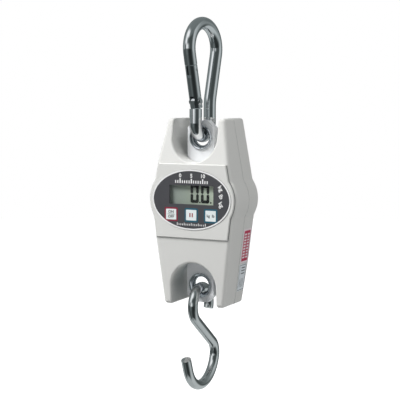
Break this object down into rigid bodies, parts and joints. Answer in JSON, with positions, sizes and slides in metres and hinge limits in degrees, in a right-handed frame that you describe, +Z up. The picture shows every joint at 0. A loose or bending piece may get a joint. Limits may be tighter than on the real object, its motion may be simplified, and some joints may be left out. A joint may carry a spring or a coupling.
{
  "type": "hanging scale",
  "caption": "Digital hanging scale: slim two-shell case with oval display panel and keys, a spring-gate snap hook above and an S-hook below.",
  "frame": {"origin": "where the scale is hung: inside the top of the snap hook, in the middle of its wire", "axes": "+Z up, +Y towards the battery door at the back, +X to the right of a person who faces the display"},
  "size_m": [0.0632, 0.0481, 0.2419],
  "materials": {
    "polished_steel": "polished stainless steel",
    "pin_steel": "turned stainless steel",
    "spring_steel": "drawn spring wire",
    "bush_steel": "polished steel bush",
    "plate_steel": "milled stainless plate",
    "hook_steel": "bright bent wire",
    "case_plastic": "light warm grey, fine satin texture",
    "battery_jacket": "plain wrapped cells",
    "contact_metal": "nickel plated spring strip",
    "gauge_foil": "amber film",
    "lead_jacket": "thin screened lead",
    "board_green": "green solder mask",
    "component_black": "moulded parts",
    "screw_steel": "zinc plated",
    "holder_plastic": "white frame",
    "display_glass": "greenish grey liquid crystal cell",
    "strip_rubber": "layered contact rubber",
    "window_clear": "clear window",
    "label_charcoal": "charcoal film with a white rim",
    "key_white": "white key cap with a coloured border"
  },
  "bodies": {
    "hook": {"snap_hook_body": "polished_steel"},
    "gate": {"snap_hook_gate": "polished_steel", "gate_pin": "pin_steel", "nose_pin": "pin_steel", "gate_spring": "spring_steel", "gate_plunger": "pin_steel"},
    "upper_eye": {"upper_eye_bush": "bush_steel"},
    "case": {"load_plate": "plate_steel", "strain_gauges": "gauge_foil", "gauge_lead": "lead_jacket", "front_cover": "case_plastic", "rear_cover": "case_plastic", "batteries": "battery_jacket", "battery_contacts": "contact_metal", "front_label": "label_charcoal", "display_window": "window_clear", "display_glass": "display_glass", "display_holder": "holder_plastic", "contact_strips": "strip_rubber", "main_board": "board_green", "board_parts": "component_black", "tact_switches": "component_black", "case_screws": "screw_steel", "plate_screws": "screw_steel", "board_screws": "screw_steel"},
    "battery_door": {"battery_door": "case_plastic"},
    "power_key": {"power_key": "key_white"},
    "hold_key": {"hold_key": "key_white"},
    "unit_key": {"unit_key": "key_white"},
    "lower_eye": {"lower_eye_bush": "bush_steel"},
    "s_hook": {"s_hook": "hook_steel"}
  },
  "joints": [
    {"name": "gate_hinge", "type": "hinge", "parent": "hook", "child": "gate", "pos_m": [-0.00093, -0.00825, -0.0458], "axis": [-0.9938, 0.1115, 0], "range_deg": [0, 28], "stiffness_Nm_per_rad": 0.1, "springref_deg": -17.19},
    {"name": "case_swing", "type": "hinge", "parent": "hook", "child": "upper_eye", "pos_m": [0, 0, -0.0597], "axis": [0.9938, -0.1115, 0], "range_deg": [-40, 40]},
    {"name": "case_roll", "type": "hinge", "parent": "upper_eye", "child": "case", "pos_m": [0, 0, -0.06885], "axis": [0, 1, 0], "range_deg": [-32, 32]},
    {"name": "s_hook_roll", "type": "hinge", "parent": "case", "child": "lower_eye", "pos_m": [0, 0, -0.16475], "axis": [0, 1, 0], "range_deg": [-38, 38]},
    {"name": "s_hook_swing", "type": "hinge", "parent": "lower_eye", "child": "s_hook", "pos_m": [0, -0.0017, -0.17769], "axis": [1, 0, 0], "range_deg": [-40, 40]},
    {"name": "power_key_press", "type": "slide", "parent": "case", "child": "power_key", "axis": [0, 1, 0], "range_m": [0, 0.0004], "stiffness_N_per_m": 600, "springref_m": -0.0002},
    {"name": "hold_key_press", "type": "slide", "parent": "case", "child": "hold_key", "axis": [0, 1, 0], "range_m": [0, 0.0004], "stiffness_N_per_m": 600, "springref_m": -0.0002},
    {"name": "unit_key_press", "type": "slide", "parent": "case", "child": "unit_key", "axis": [0, 1, 0], "range_m": [0, 0.0004], "stiffness_N_per_m": 600, "springref_m": -0.0002},
    {"name": "battery_door_hinge", "type": "hinge", "parent": "case", "child": "battery_door", "pos_m": [0, 0.01825, -0.14415], "axis": [-1, 0, 0], "range_deg": [0, 80]}
  ]
}
